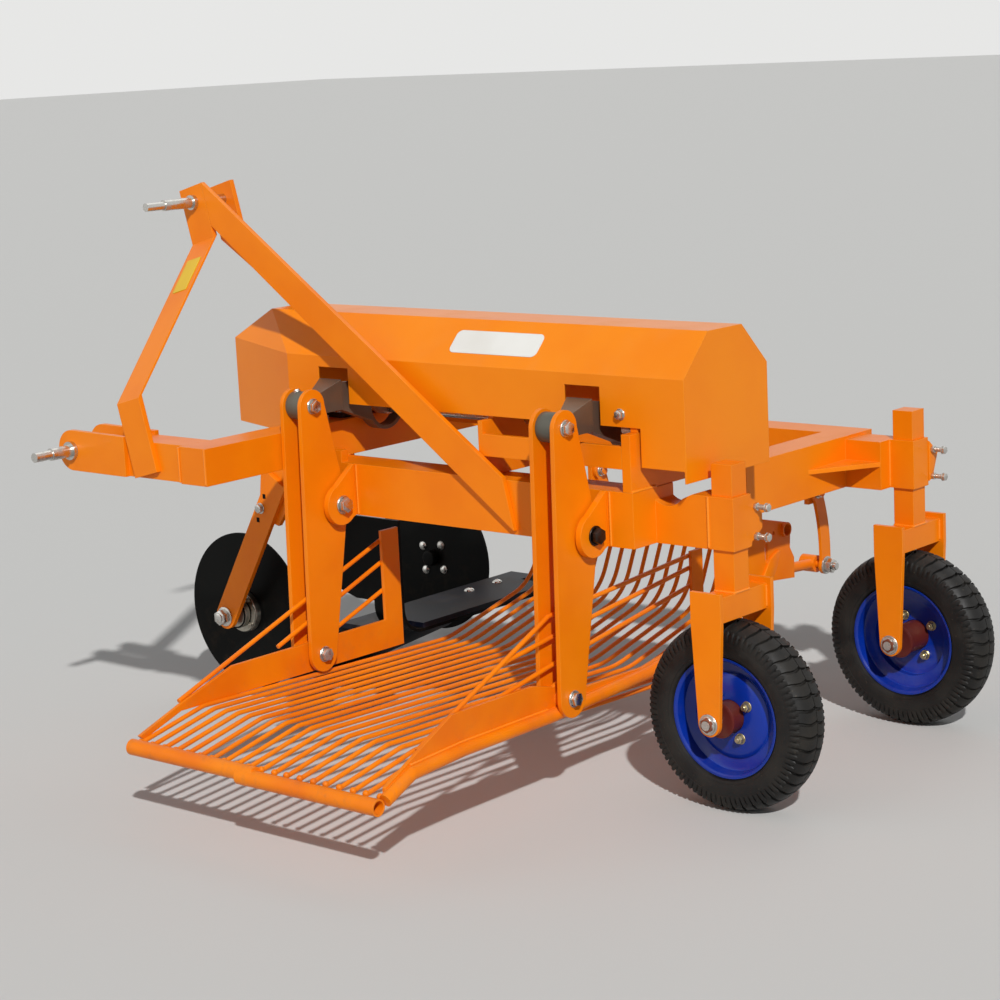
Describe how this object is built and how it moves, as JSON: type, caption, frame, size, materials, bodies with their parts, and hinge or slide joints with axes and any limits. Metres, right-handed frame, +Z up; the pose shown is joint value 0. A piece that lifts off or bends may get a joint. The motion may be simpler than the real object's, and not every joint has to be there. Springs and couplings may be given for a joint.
{
  "type": "potato digger",
  "caption": "Tractor-mounted offset potato digger: share between disc coulters, shaken side-delivery rod sieve, hooded eccentric shaft, hitch mast and castor-post wheels.",
  "frame": {"origin": "on the ground, under the middle of the bounding box", "axes": "+X to the machine's right, +Y forward to the tractor, +Z up"},
  "size_m": [1.62, 1.888, 1.2879],
  "materials": {
    "tyre_black": "matt ribbed rubber, dusty",
    "rim_blue": "blue paint, chipped",
    "hub_brown": "red-brown primer",
    "bright_steel": "turned steel, zinc plated",
    "frame_orange": "orange gloss paint, dusty",
    "bearing_iron": "grey cast iron",
    "rod_steel": "dark grey-brown bare metal, oily",
    "tool_black": "black paint",
    "share_blue": "dark blue paint, dusty"
  },
  "bodies": {
    "frame": {"left_fork": "frame_orange", "right_fork": "frame_orange", "left_axle": "bright_steel", "right_axle": "bright_steel", "left_beam": "frame_orange", "cross_beam": "frame_orange", "right_frame": "frame_orange", "rear_bulkhead": "frame_orange", "hitch_arms": "frame_orange", "link_pins": "bright_steel", "mast": "frame_orange", "top_pin": "bright_steel", "mast_brace": "frame_orange", "rocker_ears": "frame_orange", "bearing_bridge": "frame_orange", "bearings": "bearing_iron", "hood": "frame_orange", "hood_brackets": "frame_orange", "hanger_lugs": "frame_orange", "coulter_arms": "frame_orange", "coulter_brackets": "frame_orange", "share": "share_blue", "share_frame": "tool_black"},
    "left_wheel": {"left_tyre": "tyre_black", "left_rim": "rim_blue", "left_hub": "hub_brown"},
    "right_wheel": {"right_tyre": "tyre_black", "right_rim": "rim_blue", "right_hub": "hub_brown"},
    "left_coulter": {"left_disc": "tool_black"},
    "right_coulter": {"right_disc": "tool_black"},
    "drive_shaft": {"eccentric_shaft": "bright_steel"},
    "front_rocker_arm": {"front_rocker": "frame_orange"},
    "rear_rocker_arm": {"rear_rocker": "frame_orange"},
    "front_link": {"front_rod": "rod_steel"},
    "rear_link": {"rear_rod": "rod_steel"},
    "sieve": {"sieve_grate": "frame_orange", "sieve_front_side": "frame_orange", "sieve_rear_side": "frame_orange", "sieve_front_lug": "frame_orange", "front_guard_rods": "frame_orange", "rear_guard_rods": "frame_orange"},
    "front_hanger_strip": {"front_hanger": "frame_orange"},
    "rear_hanger_strip": {"rear_hanger": "frame_orange"}
  },
  "joints": [
    {"name": "left_wheel_spin", "type": "hinge", "parent": "frame", "child": "left_wheel", "pos_m": [-0.022, -0.744, 0.2], "axis": [1, 0, 0], "continuous": true},
    {"name": "right_wheel_spin", "type": "hinge", "parent": "frame", "child": "right_wheel", "pos_m": [0.704, -0.719, 0.2], "axis": [1, 0, 0], "continuous": true},
    {"name": "left_coulter_spin", "type": "hinge", "parent": "frame", "child": "left_coulter", "pos_m": [0.028, 0.751, 0.229], "axis": [1, 0, 0], "continuous": true},
    {"name": "right_coulter_spin", "type": "hinge", "parent": "frame", "child": "right_coulter", "pos_m": [0.708, 0.751, 0.229], "axis": [1, 0, 0], "continuous": true},
    {"name": "drive_shaft_spin", "type": "hinge", "parent": "frame", "child": "drive_shaft", "pos_m": [0.028, 0.056, 0.775], "axis": [0, 1, 0], "continuous": true},
    {"name": "sieve_shake", "type": "hinge", "parent": "frame", "child": "front_rocker_arm", "pos_m": [-0.169, 0.256, 0.577], "axis": [0, 1, 0], "range_deg": [-2.5, 2.5]},
    {"name": "rear_rocker_turn", "type": "hinge", "parent": "frame", "child": "rear_rocker_arm", "pos_m": [-0.169, -0.46, 0.577], "axis": [0, 1, 0], "range_deg": [-2.6, 2.6]},
    {"name": "front_link_turn", "type": "hinge", "parent": "front_rocker_arm", "child": "front_link", "pos_m": [-0.225, 0.256, 0.805], "axis": [0, 1, 0], "range_deg": [-2.6, 2.6]},
    {"name": "rear_link_turn", "type": "hinge", "parent": "rear_rocker_arm", "child": "rear_link", "pos_m": [-0.225, -0.46, 0.805], "axis": [0, 1, 0], "range_deg": [-2.6, 2.6]},
    {"name": "sieve_turn", "type": "hinge", "parent": "front_rocker_arm", "child": "sieve", "pos_m": [-0.235, 0.246, 0.247], "axis": [0, 1, 0], "range_deg": [-2.5, 2.5]},
    {"name": "front_hanger_turn", "type": "hinge", "parent": "frame", "child": "front_hanger_strip", "pos_m": [0.686, 0.156, 0.516], "axis": [0, 1, 0], "range_deg": [-4.6, 4.6]},
    {"name": "rear_hanger_turn", "type": "hinge", "parent": "frame", "child": "rear_hanger_strip", "pos_m": [0.686, -0.482, 0.516], "axis": [0, 1, 0], "range_deg": [-4.6, 4.6]}
  ],
  "couplings": [
    {"joint": "rear_rocker_turn", "follows": "sieve_shake", "ratio": 1},
    {"joint": "front_link_turn", "follows": "sieve_shake", "ratio": -1},
    {"joint": "rear_link_turn", "follows": "sieve_shake", "ratio": -1},
    {"joint": "sieve_turn", "follows": "sieve_shake", "ratio": -0.87735},
    {"joint": "front_hanger_turn", "follows": "sieve_shake", "ratio": 1.8006},
    {"joint": "rear_hanger_turn", "follows": "sieve_shake", "ratio": 1.8006}
  ]
}
